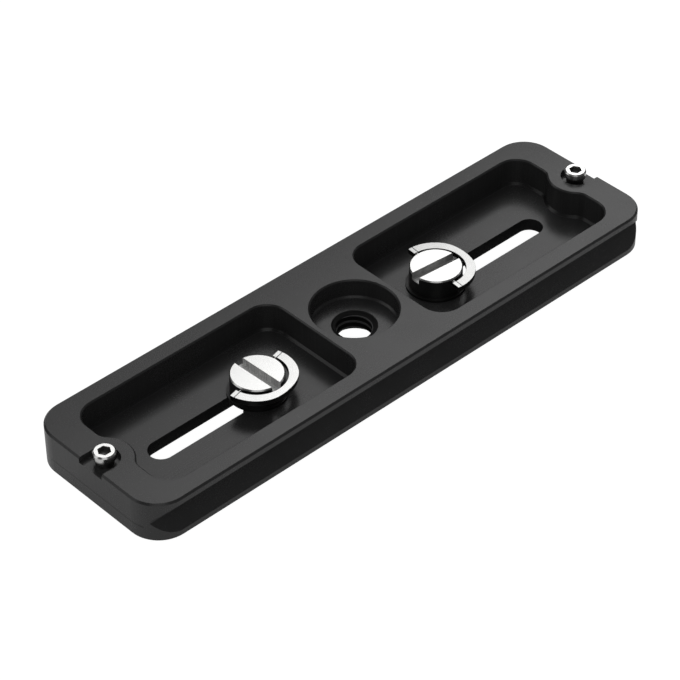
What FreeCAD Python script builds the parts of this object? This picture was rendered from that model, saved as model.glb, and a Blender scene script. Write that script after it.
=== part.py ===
import FreeCAD, Part
import math
import os
import types

import Sketcher

# Quick release plate for a 38 mm dovetail clamp. Millimetres. The origin is the centre of the
# camera face, +X runs along the plate, and +Z points out of the side that the clamp holds.

SHEET = "Sizes"

# Driving dimensions: name, value, what it is
DIMENSIONS = (
    ("plate_length", 140.0, "plate, end to end"),
    ("plate_width", 38.0, "plate, across the dovetail lips"),
    ("plate_thickness", 9.6, "camera face to clamp face"),
    ("plate_corner", 7.0, "plan radius of the four outer corners"),
    ("clamp_edge", 0.4, "bevel round the clamp face"),
    ("camera_edge", 0.3, "bevel round the camera face"),
    ("lip_height", 1.5, "upright band of each lip at the clamp face"),
    ("flange_height", 1.5, "upright band of each flange at the camera face"),
    ("rail_root", 0.6, "upright flat at the bottom of the 45 degree rail groove"),
    ("end_wall", 7.1, "plate end to a pocket's end wall"),
    ("side_wall", 4.5, "plate side to a pocket's side wall"),
    ("pocket_corner", 4.75, "plan radius of a pocket's corners"),
    ("pocket_floor", 3.0, "thickness left under a pocket"),
    ("pocket_foot", 0.5, "bevel where a pocket's wall meets its floor"),
    ("pocket_edge", 0.3, "bevel round a pocket's mouth"),
    ("bump_wall", 2.9, "wall left round an end notch"),
    ("bump_blend", 3.0, "radius where that wall runs into the end wall"),
    ("notch_half_width", 3.45, "half width of an end notch"),
    ("notch_inset", 3.35, "plate end to the centre of a notch's round end"),
    ("notch_depth", 1.3, "depth of an end notch below the clamp face"),
    ("stop_inset", 3.7, "plate end to the axis of a stop screw"),
    ("stop_bore_radius", 1.5, "tapped hole of a stop screw"),
    ("stop_bore_depth", 5.0, "depth of that hole below the notch floor"),
    ("well_radius", 9.3, "round well over the tripod thread"),
    ("well_wall", 1.5, "wall left between the well and a pocket"),
    ("well_depth", 4.5, "depth of the well"),
    ("well_foot", 0.4, "bevel where the well's wall meets its floor"),
    ("well_edge", 0.3, "bevel round the well's mouth"),
    ("tripod_radius", 3.97, "3/8 inch tripod thread, radius of its crests"),
    ("tripod_mouth", 0.6, "bevel of the tripod thread at the well's floor"),
    ("tripod_countersink", 1.2, "bevel of the tripod thread at the camera face"),
    ("slot_half_width", 2.85, "half width of a screw slot"),
    ("slot_start", 9.8, "pocket's inner wall to its slot's inner end"),
    ("slot_finish", 7.65, "slot's outer end to the pocket's end wall"),
    ("strip_end_margin", 14.0, "plate end to a strip's recess"),
    ("strip_side_margin", 4.5, "plate side to a strip's recess"),
    ("strip_width", 8.0, "recess of a rubber strip"),
    ("strip_corner", 1.5, "plan radius of a strip's corners"),
    ("strip_recess", 0.9, "depth of the recess that a strip lies in"),
    ("strip_proud", 0.3, "height of a strip above the camera face"),
    ("strip_gap", 0.05, "gap round a strip in its recess"),
    ("rib_pitch", 4.0, "from one rib of a strip to the next"),
    ("rib_groove", 1.2, "width of the groove between two ribs"),
    ("rib_depth", 0.4, "depth of that groove"),
    ("left_screw_shift", 3.8, "left camera screw, from the inner end of its slot"),
    ("right_screw_shift", 0.5, "right camera screw, from the inner end of its slot"),
    ("left_ring_angle", -77.0, "way that the left ring points, in degrees"),
    ("right_ring_angle", -5.4, "way that the right ring points, in degrees"),
    ("left_driver_angle", -11.0, "left driver slot against its ring, in degrees"),
    ("right_driver_angle", 0.0, "right driver slot against its ring, in degrees"),
    ("washer_rim", 0.7, "washer past the screw's head, on the radius"),
    ("washer_thickness", 0.5, "washer under a camera screw's head"),
    ("washer_clearance", 0.1, "washer's hole round the screw's neck, on the radius"),
    ("head_radius", 5.7, "camera screw's head"),
    ("head_height", 4.5, "camera screw's head"),
    ("head_edge", 0.25, "bevel round the top of the head"),
    ("neck_clearance", 0.35, "slot's side to the plain neck that runs through it"),
    ("thread_radius", 3.175, "1/4 inch camera thread"),
    ("thread_reach", 5.0, "thread's tip below the camera face"),
    ("thread_start", 0.3, "thread's upper end below the camera face"),
    ("thread_tip", 0.6, "bevel at the thread's tip"),
    ("driver_width", 2.3, "driver slot in the head"),
    ("driver_depth", 1.6, "driver slot in the head"),
    ("ring_clearance", 0.7, "head to the ring's inner edge"),
    ("ring_width", 2.0, "ring, across its band"),
    ("ring_front_flat", 0.7, "how far the round front of the ring is flattened"),
    ("ring_front_corner", 1.5, "radius where the flattened front meets the round"),
    ("ring_thickness", 1.2, "ring"),
    ("ring_edge", 0.2, "bevel of the ring's edges"),
    ("ring_drop", 0.4, "head's top to the ring's top"),
    ("ring_tail", 0.7, "ring's ends past its pivot axis"),
    ("pivot_step", 0.05, "ring's half thickness less the radius of its stubs"),
    ("pivot_clearance", 0.05, "hole in the head round a stub, on the radius"),
    ("pivot_reach", 1.1, "stub's length inside the head"),
    ("pivot_end_gap", 0.15, "stub's end to the bottom of its hole"),
    ("stop_head_radius", 2.35, "stop screw's head"),
    ("stop_head_height", 1.6, "stop screw's head"),
    ("stop_stand", 1.8, "stop screw's top above the clamp face"),
    ("stop_edge", 0.3, "bevel of the stop screw's head"),
    ("stop_neck_radius", 1.9, "shoulder that stands on the notch floor"),
    ("stop_thread_clearance", 0.05, "stop screw's thread in its hole, on the radius"),
    ("stop_thread_length", 4.0, "stop screw's thread"),
    ("stop_socket", 2.5, "hexagon socket, across flats"),
    ("stop_socket_depth", 1.1, "hexagon socket"),
)


class Size:
    """A number together with the sheet expression that drives it."""

    def __init__(self, text, value):
        self.text = text
        self.value = value

    def __add__(self, other):
        other = as_size(other)
        return Size(f"({self.text} + {other.text})", self.value + other.value)

    def __radd__(self, other):
        return as_size(other) + self

    def __sub__(self, other):
        other = as_size(other)
        return Size(f"({self.text} - {other.text})", self.value - other.value)

    def __rsub__(self, other):
        return as_size(other) - self

    def __mul__(self, other):
        other = as_size(other)
        return Size(f"({self.text} * {other.text})", self.value * other.value)

    def __rmul__(self, other):
        return as_size(other) * self

    def __truediv__(self, other):
        other = as_size(other)
        return Size(f"({self.text} / {other.text})", self.value / other.value)

    def __neg__(self):
        return Size(f"(-{self.text})", -self.value)


def as_size(number):
    return number if isinstance(number, Size) else Size(repr(float(number)), float(number))


ZERO = as_size(0)
TINY = 1e-6


def make_sheet(doc):
    """Fill the sheet and give each of its sizes as an attribute."""
    sheet = doc.addObject("Spreadsheet::Sheet", SHEET)
    sizes = types.SimpleNamespace()
    for row, (name, value, meaning) in enumerate(DIMENSIONS, start=1):
        sheet.set(f"A{row}", name)
        sheet.set(f"B{row}", str(value))
        sheet.setAlias(f"B{row}", name)
        sheet.set(f"C{row}", meaning)
        setattr(sizes, name, Size(f"{SHEET}.{name}", value))
    doc.recompute()
    return sizes


doc = FreeCAD.newDocument("quick_release_plate")
S = make_sheet(doc)

# Sizes that follow from the driving ones
stop_place = S.plate_length / 2 - S.stop_inset
notch_place = S.plate_length / 2 - S.notch_inset
notch_floor = S.plate_thickness - S.notch_depth
well_floor = S.plate_thickness - S.well_depth
lip_bottom = S.plate_thickness - S.lip_height
rail_depth = (lip_bottom - S.flange_height - S.rail_root) / 2
pocket_inner = S.well_radius + S.well_wall
pocket_outer = S.plate_length / 2 - S.end_wall
pocket_half_width = S.plate_width / 2 - S.side_wall
slot_inner = pocket_inner + S.slot_start
slot_outer = pocket_outer - S.slot_finish
strip_length = S.plate_length - 2 * S.strip_end_margin
strip_offset = S.plate_width / 2 - S.strip_side_margin - S.strip_width / 2
neck_radius = S.slot_half_width - S.neck_clearance
washer_radius = S.head_radius + S.washer_rim
head_bottom = S.pocket_floor + S.washer_thickness
head_top = head_bottom + S.head_height
ring_top = head_top - S.ring_drop
pivot_height = ring_top - S.ring_thickness / 2
ring_inner = S.head_radius + S.ring_clearance
ring_outer = ring_inner + S.ring_width
ring_reach = ring_outer - S.ring_front_flat
pivot_radius = S.ring_thickness / 2 - S.pivot_step

SIDES = {"left": -1, "right": 1}
RIMS = {"front": -1, "back": 1}


# Sketch and feature helpers

def new_body(name):
    body = doc.addObject("PartDesign::Body", name)
    body.Label = name
    return body


def origin_plane(body, role):
    return next(f for f in body.Origin.OriginFeatures if f.Role == role)


def drive(target, prop, size):
    target.setExpression(prop, as_size(size).text)


def sketch_on(body, role, name, lift=None, turn=None):
    """A sketch on one of the body's own planes, lifted along and turned about its normal."""
    sketch = body.newObject("Sketcher::SketchObject", name)
    sketch.AttachmentSupport = [(origin_plane(body, role), "")]
    sketch.MapMode = "FlatFace"
    if lift is not None:
        drive(sketch, "AttachmentOffset.Base.z", lift)
    if turn is not None:
        drive(sketch, "AttachmentOffset.Rotation.Angle", turn)
    return sketch


def constrain(sketch, size, *terms):
    """A driving dimension of the sketch, bound to the sheet."""
    index = sketch.addConstraint(Sketcher.Constraint(*terms, size.value))
    drive(sketch, f"Constraints[{index}]", size)


def fix_x(sketch, geometry, point, x):
    if abs(x.value) < TINY:
        sketch.addConstraint(Sketcher.Constraint("PointOnObject", geometry, point, -2))
    else:
        constrain(sketch, x, "DistanceX", -1, 1, geometry, point)


def fix_y(sketch, geometry, point, y):
    if abs(y.value) < TINY:
        sketch.addConstraint(Sketcher.Constraint("PointOnObject", geometry, point, -1))
    else:
        constrain(sketch, y, "DistanceY", -1, 1, geometry, point)


def line(sketch, start, end):
    a, b = (FreeCAD.Vector(x.value, y.value, 0) for x, y in (start, end))
    return sketch.addGeometry(Part.LineSegment(a, b), False)


def arc(sketch, x, radius, first, last):
    """An arc round a centre on the sketch's X axis, between two angles in radians."""
    centre = FreeCAD.Vector(x.value, 0, 0)
    curve = Part.Circle(centre, FreeCAD.Vector(0, 0, 1), radius.value)
    index = sketch.addGeometry(Part.ArcOfCircle(curve, first, last), False)
    fix_x(sketch, index, 3, x)
    fix_y(sketch, index, 3, ZERO)
    constrain(sketch, radius, "Radius", index)
    return index


def polygon(sketch, corners):
    """A closed outline of straight lines, every corner held by its two distances."""
    corners = [(as_size(x), as_size(y)) for x, y in corners]
    edges = [line(sketch, a, b) for a, b in zip(corners, corners[1:] + corners[:1])]
    for edge, following in zip(edges, edges[1:] + edges[:1]):
        sketch.addConstraint(Sketcher.Constraint("Coincident", edge, 2, following, 1))
    for edge, (x, y) in zip(edges, corners):
        fix_x(sketch, edge, 1, x)
        fix_y(sketch, edge, 1, y)


def rectangle(sketch, x_low, x_high, y_low, y_high):
    polygon(sketch, ((x_low, y_low), (x_high, y_low), (x_high, y_high), (x_low, y_high)))


def circle(sketch, x, y, radius):
    x, y, radius = as_size(x), as_size(y), as_size(radius)
    centre = FreeCAD.Vector(x.value, y.value, 0)
    round_line = Part.Circle(centre, FreeCAD.Vector(0, 0, 1), radius.value)
    index = sketch.addGeometry(round_line, False)
    fix_x(sketch, index, 3, x)
    fix_y(sketch, index, 3, y)
    constrain(sketch, radius, "Radius", index)


def stadium(sketch, low, high, half_width):
    """A long hole along the sketch's X axis, with round ends centred at low and high."""
    left = arc(sketch, low, half_width, math.pi / 2, 3 * math.pi / 2)
    right = arc(sketch, high, half_width, -math.pi / 2, math.pi / 2)
    below = line(sketch, (low, -half_width), (high, -half_width))
    above = line(sketch, (high, half_width), (low, half_width))
    chain = ((left, 2, below, 1), (below, 2, right, 1), (right, 2, above, 1), (above, 2, left, 1))
    for ends in chain:
        sketch.addConstraint(Sketcher.Constraint("Tangent", *ends))


def pad(body, sketch, length, both_ways=False):
    feature = body.newObject("PartDesign::Pad", sketch.Name + "_pad")
    feature.Profile = sketch
    feature.Midplane = both_ways
    drive(feature, "Length", length)
    return finished(feature)


def cut(body, sketch, depth=None, upwards=False, both_ways=False):
    """A pocket of some depth, or right through; downwards unless upwards is asked for."""
    feature = body.newObject("PartDesign::Pocket", sketch.Name + "_cut")
    feature.Profile = sketch
    feature.Reversed = upwards
    feature.Midplane = both_ways
    if depth is None:
        feature.Type = "ThroughAll"
    else:
        drive(feature, "Length", depth)
    before = feature.BaseFeature.Shape.Volume
    finished(feature)
    if feature.Shape.Volume > before - TINY:
        raise RuntimeError(f"{feature.Name} removes nothing")
    return feature


def turned(body, sketch, kind):
    """A Revolution or a Groove of the sketch about its own vertical axis."""
    feature = body.newObject(f"PartDesign::{kind}", f"{sketch.Name}_{kind.lower()}")
    feature.Profile = sketch
    feature.ReferenceAxis = (sketch, ["V_Axis"])
    feature.Angle = 360
    return finished(feature)


def dressed(body, kind, base, size, chosen):
    """A Fillet or Chamfer of the base feature's edges that the test chooses."""
    names = [f"Edge{i}" for i, edge in enumerate(base.Shape.Edges, start=1) if chosen(edge)]
    if not names:
        raise RuntimeError(f"{base.Name} has no edge to dress")
    feature = body.newObject(f"PartDesign::{kind}", f"{base.Name}_{kind.lower()}")
    feature.Base = (base, names)
    drive(feature, "Radius" if kind == "Fillet" else "Size", size)
    return finished(feature)


def mirrored(body, feature, role):
    mirror = body.newObject("PartDesign::Mirrored", feature.Name + "_mirror")
    mirror.Originals = [feature]
    mirror.MirrorPlane = (origin_plane(body, role), [""])
    body.Tip = mirror
    return finished(mirror)


def finished(feature):
    doc.recompute()
    if not feature.isValid() or feature.Shape.isNull():
        raise RuntimeError(f"{feature.Name} failed")
    return feature


def near(value, size):
    return abs(value - as_size(size).value) < 1e-4


def upright(edge):
    box = edge.BoundBox
    return box.XLength < TINY and box.YLength < TINY


def level_at(edge, height):
    box = edge.BoundBox
    return near(box.ZMin, height) and near(box.ZMax, height)


def inside(edge, x_reach, y_reach):
    """True where the whole edge lies within these distances of the centre."""
    box = edge.BoundBox
    x_far = max(abs(box.XMin), abs(box.XMax))
    y_far = max(abs(box.YMin), abs(box.YMax))
    return x_far < x_reach.value + TINY and y_far < y_reach.value + TINY


# Plate: one block, milled from both faces and along both sides

def make_blank(body):
    sketch = sketch_on(body, "XY_Plane", "plate_plan")
    half_length, half_width = S.plate_length / 2, S.plate_width / 2
    rectangle(sketch, -half_length, half_length, -half_width, half_width)
    blank = pad(body, sketch, S.plate_thickness)
    blank = dressed(body, "Fillet", blank, S.plate_corner, upright)
    top = S.plate_thickness
    blank = dressed(body, "Chamfer", blank, S.clamp_edge, lambda edge: level_at(edge, top))
    return dressed(body, "Chamfer", blank, S.camera_edge, lambda edge: level_at(edge, 0))


def cut_rails(body):
    """A V groove along each side leaves the dovetail lip and the flange."""
    sketch = sketch_on(body, "YZ_Plane", "rail_section")
    edge = S.plate_width / 2
    outside = edge + rail_depth
    root = edge - rail_depth
    for side in RIMS.values():
        polygon(sketch, (
            (side * outside, lip_bottom),
            (side * edge, lip_bottom),
            (side * root, lip_bottom - rail_depth),
            (side * root, S.flange_height + rail_depth),
            (side * edge, S.flange_height),
            (side * outside, S.flange_height),
        ))
    cut(body, sketch, both_ways=True)


def draw_pocket(sketch, side):
    """One pocket's mouth: a rectangle whose end wall swells round the stop screw's notch."""
    inner, outer = side * pocket_inner, side * pocket_outer
    low, high = -pocket_half_width, pocket_half_width
    bump_radius = S.notch_half_width + S.bump_wall
    half_angle = math.acos((notch_place - pocket_outer).value / bump_radius.value)
    middle = math.pi if side > 0 else 0.0
    bump = arc(sketch, side * notch_place, bump_radius, middle - half_angle, middle + half_angle)
    bump_start = as_size(bump_radius.value * math.sin(half_angle))
    ends = (1, 2) if side > 0 else (2, 1)
    upper = line(sketch, (outer, bump_start), (outer, high))
    top = line(sketch, (outer, high), (inner, high))
    wall = line(sketch, (inner, high), (inner, low))
    bottom = line(sketch, (inner, low), (outer, low))
    lower = line(sketch, (outer, low), (outer, -bump_start))
    chain = (bump, ends[0], upper, 1), (upper, 2, top, 1), (top, 2, wall, 1), \
        (wall, 2, bottom, 1), (bottom, 2, lower, 1), (lower, 2, bump, ends[1])
    for pair in chain:
        sketch.addConstraint(Sketcher.Constraint("Coincident", *pair))
    for edge in (upper, lower):
        sketch.addConstraint(Sketcher.Constraint("Vertical", edge))
    for edge, x, y in ((top, outer, high), (wall, inner, high), (bottom, inner, low), (lower, outer, low)):
        fix_x(sketch, edge, 1, x)
        fix_y(sketch, edge, 1, y)


def cut_pockets(body):
    sketch = sketch_on(body, "XY_Plane", "pocket_plan", lift=S.plate_thickness)
    for side in SIDES.values():
        draw_pocket(sketch, side)
    pockets = cut(body, sketch, S.plate_thickness - S.pocket_floor)

    def in_corner(edge):
        box = edge.BoundBox
        return upright(edge) and near(abs(box.YMax), pocket_half_width)

    def beside_bump(edge):
        box = edge.BoundBox
        beside = near(abs(box.XMax), pocket_outer) and abs(box.YMax) < pocket_half_width.value - TINY
        return upright(edge) and beside

    def round_floor(edge):
        return level_at(edge, S.pocket_floor)

    def round_mouth(edge):
        return level_at(edge, S.plate_thickness) and inside(edge, pocket_outer, pocket_half_width)

    pockets = dressed(body, "Fillet", pockets, S.pocket_corner, in_corner)
    pockets = dressed(body, "Fillet", pockets, S.bump_blend, beside_bump)
    pockets = dressed(body, "Chamfer", pockets, S.pocket_foot, round_floor)
    dressed(body, "Chamfer", pockets, S.pocket_edge, round_mouth)


def cut_slots(body):
    sketch = sketch_on(body, "XY_Plane", "slot_plan")
    first, last = slot_inner + S.slot_half_width, slot_outer - S.slot_half_width
    stadium(sketch, first, last, S.slot_half_width)
    stadium(sketch, -last, -first, S.slot_half_width)
    cut(body, sketch, upwards=True)


def cut_tripod_hole(body):
    """The well and the threaded hole, turned about the plate's centre."""
    sketch = sketch_on(body, "XZ_Plane", "tripod_section")
    top, spill = S.plate_thickness, S.well_edge
    thread_top = well_floor - S.tripod_mouth
    polygon(sketch, (
        (0, -spill),
        (S.tripod_radius + S.tripod_countersink + spill, -spill),
        (S.tripod_radius, S.tripod_countersink),
        (S.tripod_radius, thread_top),
        (S.tripod_radius + S.tripod_mouth, well_floor),
        (S.well_radius - S.well_foot, well_floor),
        (S.well_radius, well_floor + S.well_foot),
        (S.well_radius, top - S.well_edge),
        (S.well_radius + S.well_edge + spill, top + spill),
        (0, top + spill),
    ))
    turned(body, sketch, "Groove")


def cut_notches(body):
    sketch = sketch_on(body, "XY_Plane", "notch_plan", lift=S.plate_thickness)
    past_end = S.plate_length / 2 + S.notch_half_width
    stadium(sketch, notch_place, past_end, S.notch_half_width)
    stadium(sketch, -past_end, -notch_place, S.notch_half_width)
    cut(body, sketch, S.notch_depth)
    sketch = sketch_on(body, "XY_Plane", "stop_bore_plan", lift=notch_floor)
    for side in SIDES.values():
        circle(sketch, side * stop_place, 0, S.stop_bore_radius)
    cut(body, sketch, S.stop_bore_depth)


def cut_strip_recesses(body):
    sketch = sketch_on(body, "XY_Plane", "strip_recess_plan")
    half_length, half_width = strip_length / 2, S.strip_width / 2
    for side in RIMS.values():
        middle = side * strip_offset
        rectangle(sketch, -half_length, half_length, middle - half_width, middle + half_width)
    recesses = cut(body, sketch, S.strip_recess, upwards=True)

    def in_recess_corner(edge):
        box = edge.BoundBox
        return upright(edge) and near(abs(box.XMax), half_length) and near(box.ZMax, S.strip_recess)

    dressed(body, "Fillet", recesses, S.strip_corner, in_recess_corner)


def make_plate():
    body = new_body("plate")
    make_blank(body)
    cut_rails(body)
    cut_pockets(body)
    cut_slots(body)
    cut_tripod_hole(body)
    cut_notches(body)
    cut_strip_recesses(body)
    return body


# Rubber strips in the camera face

def make_grip_strip(rim):
    """A strip with cross ribs, its back on the recess's floor."""
    body = new_body(f"grip_strip_{rim}")
    sketch = sketch_on(body, "XY_Plane", f"strip_plan_{rim}", lift=-S.strip_proud)
    half_length = strip_length / 2 - S.strip_gap
    half_width = S.strip_width / 2 - S.strip_gap
    rectangle(sketch, -half_length, half_length, -half_width, half_width)
    strip = pad(body, sketch, S.strip_proud + S.strip_recess)
    strip = dressed(body, "Fillet", strip, S.strip_corner - S.strip_gap, upright)

    grooves_each_way = int((half_length - S.strip_corner).value / S.rib_pitch.value)
    sketch = sketch_on(body, "XY_Plane", f"rib_plan_{rim}", lift=-S.strip_proud)
    first = (0.5 - grooves_each_way) * S.rib_pitch
    across = half_width + S.rib_groove
    rectangle(sketch, first - S.rib_groove / 2, first + S.rib_groove / 2, -across, across)
    groove = cut(body, sketch, S.rib_depth, upwards=True)
    grooves = body.newObject("PartDesign::LinearPattern", f"ribs_{rim}")
    grooves.Originals = [groove]
    grooves.Direction = (next(f for f in body.Origin.OriginFeatures if f.Role == "X_Axis"), [""])
    grooves.Occurrences = 2 * grooves_each_way
    drive(grooves, "Length", (2 * grooves_each_way - 1) * S.rib_pitch)
    body.Tip = grooves
    finished(grooves)
    drive(body, "Placement.Base.y", RIMS[rim] * strip_offset)
    return body


# Camera screws, each with its washer and its folding ring

def stand_on_screw_axis(body, side, turned_with_ring):
    """Put a piece on its screw's axis. Its own +X then points the way the ring points."""
    from_centre = slot_inner + neck_radius + getattr(S, f"{side}_screw_shift")
    drive(body, "Placement.Base.x", SIDES[side] * from_centre)
    if turned_with_ring:
        drive(body, "Placement.Rotation.Angle", getattr(S, f"{side}_ring_angle"))


def make_washer(side):
    body = new_body(f"screw_washer_{side}")
    sketch = sketch_on(body, "XY_Plane", f"washer_plan_{side}", lift=S.pocket_floor)
    circle(sketch, 0, 0, washer_radius)
    circle(sketch, 0, 0, neck_radius + S.washer_clearance)
    pad(body, sketch, S.washer_thickness)
    stand_on_screw_axis(body, side, turned_with_ring=False)
    return body


def make_camera_screw(side):
    """A slotted head over a plain neck and a short thread, turned in one piece."""
    body = new_body(f"camera_screw_{side}")
    sketch = sketch_on(body, "XZ_Plane", f"screw_section_{side}")
    shoulder = S.thread_radius - neck_radius
    polygon(sketch, (
        (0, -S.thread_reach),
        (S.thread_radius - S.thread_tip, -S.thread_reach),
        (S.thread_radius, S.thread_tip - S.thread_reach),
        (S.thread_radius, -S.thread_start - shoulder),
        (neck_radius, -S.thread_start),
        (neck_radius, head_bottom),
        (S.head_radius, head_bottom),
        (S.head_radius, head_top - S.head_edge),
        (S.head_radius - S.head_edge, head_top),
        (0, head_top),
    ))
    turned(body, sketch, "Revolution")

    sketch = sketch_on(body, "XY_Plane", f"driver_plan_{side}", lift=head_top,
                       turn=getattr(S, f"{side}_driver_angle"))
    past_head = S.head_radius + S.driver_width
    rectangle(sketch, -past_head, past_head, -S.driver_width / 2, S.driver_width / 2)
    cut(body, sketch, S.driver_depth)

    sketch = sketch_on(body, "XZ_Plane", f"pivot_hole_plan_{side}", lift=S.head_radius)
    circle(sketch, 0, pivot_height, pivot_radius + S.pivot_clearance)
    hole = cut(body, sketch, S.pivot_reach + S.pivot_end_gap)
    mirrored(body, hole, "XZ_Plane")
    stand_on_screw_axis(body, side, turned_with_ring=True)
    return body


def make_d_ring(side):
    """A flat half ring with a straightened front, carried on two stubs in the head."""
    body = new_body(f"d_ring_{side}")
    sketch = sketch_on(body, "XY_Plane", f"ring_plan_{side}", lift=pivot_height)
    circle(sketch, 0, 0, ring_outer)
    circle(sketch, 0, 0, ring_inner)
    pad(body, sketch, S.ring_thickness, both_ways=True)

    sketch = sketch_on(body, "XY_Plane", f"ring_trim_{side}", lift=ring_top)
    beyond = ring_outer + S.ring_width
    rectangle(sketch, -beyond, -S.ring_tail, -beyond, beyond)
    rectangle(sketch, ring_reach, beyond, -beyond, beyond)
    ring = cut(body, sketch, S.ring_thickness)
    ring = dressed(body, "Fillet", ring, S.ring_front_corner,
                   lambda edge: upright(edge) and near(edge.BoundBox.XMax, ring_reach))
    bottom = ring_top - S.ring_thickness
    dressed(body, "Chamfer", ring, S.ring_edge,
            lambda edge: level_at(edge, ring_top) or level_at(edge, bottom))

    sketch = sketch_on(body, "XZ_Plane", f"pivot_plan_{side}", lift=S.head_radius - S.pivot_reach)
    circle(sketch, 0, pivot_height, pivot_radius)
    stub = pad(body, sketch, S.pivot_reach + S.ring_clearance + S.ring_width / 2)
    mirrored(body, stub, "XZ_Plane")
    stand_on_screw_axis(body, side, turned_with_ring=True)
    return body


# Stop screws that keep the plate from sliding out of a loose clamp

def make_stop_screw(side):
    body = new_body(f"stop_screw_{side}")
    sketch = sketch_on(body, "XZ_Plane", f"stop_section_{side}")
    top = S.plate_thickness + S.stop_stand
    under_head = top - S.stop_head_height
    thread_radius = S.stop_bore_radius - S.stop_thread_clearance
    tip = notch_floor - S.stop_thread_length
    polygon(sketch, (
        (0, tip),
        (thread_radius, tip),
        (thread_radius, notch_floor),
        (S.stop_neck_radius, notch_floor),
        (S.stop_neck_radius, under_head),
        (S.stop_head_radius, under_head),
        (S.stop_head_radius, top - S.stop_edge),
        (S.stop_head_radius - S.stop_edge, top),
        (0, top),
    ))
    turned(body, sketch, "Revolution")

    sketch = sketch_on(body, "XY_Plane", f"stop_socket_plan_{side}", lift=top)
    flat = S.stop_socket / 2
    corner = flat * (2 / math.sqrt(3))
    polygon(sketch, ((corner, 0), (corner / 2, flat), (-corner / 2, flat),
                     (-corner, 0), (-corner / 2, -flat), (corner / 2, -flat)))
    cut(body, sketch, S.stop_socket_depth)
    drive(body, "Placement.Base.x", SIDES[side] * stop_place)
    return body


def make_pieces():
    pieces = [make_plate()]
    pieces += [make_grip_strip(rim) for rim in RIMS]
    for side in SIDES:
        pieces += [make_washer(side), make_camera_screw(side), make_d_ring(side), make_stop_screw(side)]
    return pieces


def check_document():
    doc.recompute()
    failed = [item.Name for item in doc.Objects if {"Invalid", "Error"} & set(item.State)]
    if failed:
        raise RuntimeError(f"these objects failed: {failed}")


def write_steps(pieces):
    os.makedirs("parts", exist_ok=True)
    for piece in pieces:
        if piece.Shape.isNull() or not piece.Shape.isValid() or len(piece.Shape.Solids) != 1:
            raise RuntimeError(f"{piece.Label} isn't one valid solid")
        piece.Shape.exportStep(f"parts/{piece.Label}.step")
        print(f"{piece.Label}: {piece.Shape.Volume:.2f} mm3")


pieces = make_pieces()
check_document()
write_steps(pieces)
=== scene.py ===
"""The looks of a tripod quick release plate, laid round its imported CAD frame."""

import math

import bmesh
import bpy
from mathutils import Matrix, Vector


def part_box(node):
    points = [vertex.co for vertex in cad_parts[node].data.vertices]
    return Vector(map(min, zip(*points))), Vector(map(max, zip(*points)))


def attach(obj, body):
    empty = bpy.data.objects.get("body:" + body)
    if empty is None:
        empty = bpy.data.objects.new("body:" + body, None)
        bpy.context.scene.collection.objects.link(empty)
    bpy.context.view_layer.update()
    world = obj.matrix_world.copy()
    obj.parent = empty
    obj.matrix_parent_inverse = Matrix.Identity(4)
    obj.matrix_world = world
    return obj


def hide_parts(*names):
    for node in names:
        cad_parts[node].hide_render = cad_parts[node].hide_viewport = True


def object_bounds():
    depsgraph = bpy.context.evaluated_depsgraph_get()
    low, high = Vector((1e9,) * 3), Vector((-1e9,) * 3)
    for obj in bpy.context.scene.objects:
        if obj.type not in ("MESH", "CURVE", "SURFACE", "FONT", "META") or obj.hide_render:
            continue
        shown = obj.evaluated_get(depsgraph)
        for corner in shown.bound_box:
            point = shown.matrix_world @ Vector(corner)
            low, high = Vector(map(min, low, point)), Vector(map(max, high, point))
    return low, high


bl_info = {
    "name": "Quick Release Plate",
    "version": (1, 0, 0),
    "blender": (4, 5, 0),
    "location": "View3D > Sidebar > Plate",
    "description": "Finishes, threads and studio for a quick release plate",
    "category": "Object",
}

MM = 0.001

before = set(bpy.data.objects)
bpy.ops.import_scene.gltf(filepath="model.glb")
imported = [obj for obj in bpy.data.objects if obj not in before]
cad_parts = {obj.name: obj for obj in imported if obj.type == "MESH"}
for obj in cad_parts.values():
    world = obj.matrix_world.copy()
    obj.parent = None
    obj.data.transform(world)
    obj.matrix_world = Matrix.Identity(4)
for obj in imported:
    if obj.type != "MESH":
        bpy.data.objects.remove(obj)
cad_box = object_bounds()


def box_of(node):
    """The lowest and highest corner of a CAD node."""
    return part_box(node)


def centre_of(node):
    low, high = box_of(node)
    return (low + high) / 2


SIDES = ("left", "right")
RIMS = ("front", "back")
SCREW_AXIS = {side: Vector((centre_of(f"screw_washer_{side}").x, 0, 0)) for side in SIDES}
STOP_AXIS = {side: Vector((centre_of(f"stop_screw_{side}").x, 0, 0)) for side in SIDES}
HEAD_TOP = box_of("camera_screw_left")[1].z
THREAD_TIP = box_of("camera_screw_left")[0].z
PLATE_TOP = box_of("plate")[1].z

# Where the plate's finish changes: heights from the camera face, and distances from the middle
POCKET_FLOOR = 3.0 * MM
POCKET_FOOT = 0.5 * MM
POCKET_SIDE = 14.8 * MM
WELL_FLOOR = 5.1 * MM
MOUTH_RADIUS = 4.9 * MM
CREST_RADIUS = 3.8 * MM

# The turn of each ring and of each driver slot, from the X axis
RING_ANGLE = {"left": math.radians(-77), "right": math.radians(-5.4)}
DRIVER_ANGLE = {"left": math.radians(-88), "right": math.radians(-5.4)}

# Half the driver slot's width and its depth
DRIVER_HALF_WIDTH = 1.19 * MM
DRIVER_DEPTH = 1.75 * MM
HEAD_EDGE = 5.6 * MM

# Grain along and across each driver slot, in waves to the metre
DRIVER_GRAIN = {"left": (2600.0, 2200.0), "right": (260.0, 5600.0)}

# The darkest and lightest steel, as shares of its colour: besides the grain's spread, the right
# ring and right driver slot are set lower as painted shade, and the left slot higher as painted
# light
RING_GRAIN_AND_SHADE = {"left": (0.78, 0.98), "right": (0.6, 0.82)}
DRIVER_GRAIN_LIGHT_AND_SHADE = {"left": (0.7, 1.28), "right": (0.3, 1.0)}
# Share of the steel's colour where painted shade darkens the head sides, the stop screws' lower
# parts and a step line on the rings
SHADED_STEEL = 0.12

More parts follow.
